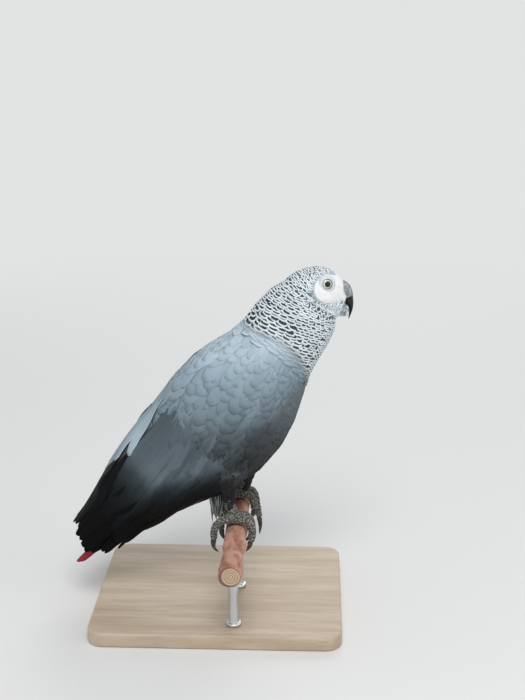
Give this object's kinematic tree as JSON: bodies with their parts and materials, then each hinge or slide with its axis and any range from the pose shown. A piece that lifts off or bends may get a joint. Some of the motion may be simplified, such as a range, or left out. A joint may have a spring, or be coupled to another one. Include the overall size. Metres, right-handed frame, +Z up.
{
  "type": "grey parrot on a perch",
  "caption": "Life-size grey parrot gripping a short cut branch, wings folded and head turned a little to its left, held over a plain flat base by thin rods.",
  "frame": {"origin": "centre of the stand base's underside", "axes": "+X the way the body faces, +Y to the bird's left, +Z up"},
  "size_m": [0.2275, 0.1931, 0.2857],
  "materials": {
    "pale_feathers": "small pale grey feathers with paler edges, matte",
    "grey_feathers": "overlapping grey feathers with paler edges, matte",
    "dark_feathers": "near-black flight feathers with a faint sheen",
    "red_feathers": "deep red tail feathers, matte",
    "cere": "bare pale skin, dry",
    "horn": "black horn, worn to a soft sheen",
    "claw": "dark horn, soft sheen",
    "eye": "wet, pale straw iris round a black pupil",
    "foot_scales": "grey pebbled scales, dry",
    "branch": "pinkish brown bark, rough, mottled",
    "stand_wood": "pale plain wood, satin",
    "stand_steel": "thin plain rod"
  },
  "bodies": {
    "root": {"head": "pale_feathers", "neck": "grey_feathers", "trunk": "grey_feathers", "tail": "red_feathers", "cere": "cere", "bill_upper": "horn", "bill_lower": "horn", "eye_right": "eye", "wing_right": "grey_feathers", "wing_tip_right": "dark_feathers", "thigh_right": "grey_feathers", "shank_right": "foot_scales", "foot_right": "foot_scales", "toe_outer_front_right": "foot_scales", "claw_outer_front_right": "claw", "toe_inner_front_right": "foot_scales", "claw_inner_front_right": "claw", "toe_outer_back_right": "foot_scales", "claw_outer_back_right": "claw", "toe_inner_back_right": "foot_scales", "claw_inner_back_right": "claw", "eye_left": "eye", "wing_left": "grey_feathers", "wing_tip_left": "dark_feathers", "thigh_left": "grey_feathers", "shank_left": "foot_scales", "foot_left": "foot_scales", "toe_outer_front_left": "foot_scales", "claw_outer_front_left": "claw", "toe_inner_front_left": "foot_scales", "claw_inner_front_left": "claw", "toe_outer_back_left": "foot_scales", "claw_outer_back_left": "claw", "toe_inner_back_left": "foot_scales", "claw_inner_back_left": "claw", "perch": "branch", "stand_rod_1": "stand_steel", "stand_rod_2": "stand_steel", "stand_base": "stand_wood"}
  },
  "joints": []
}
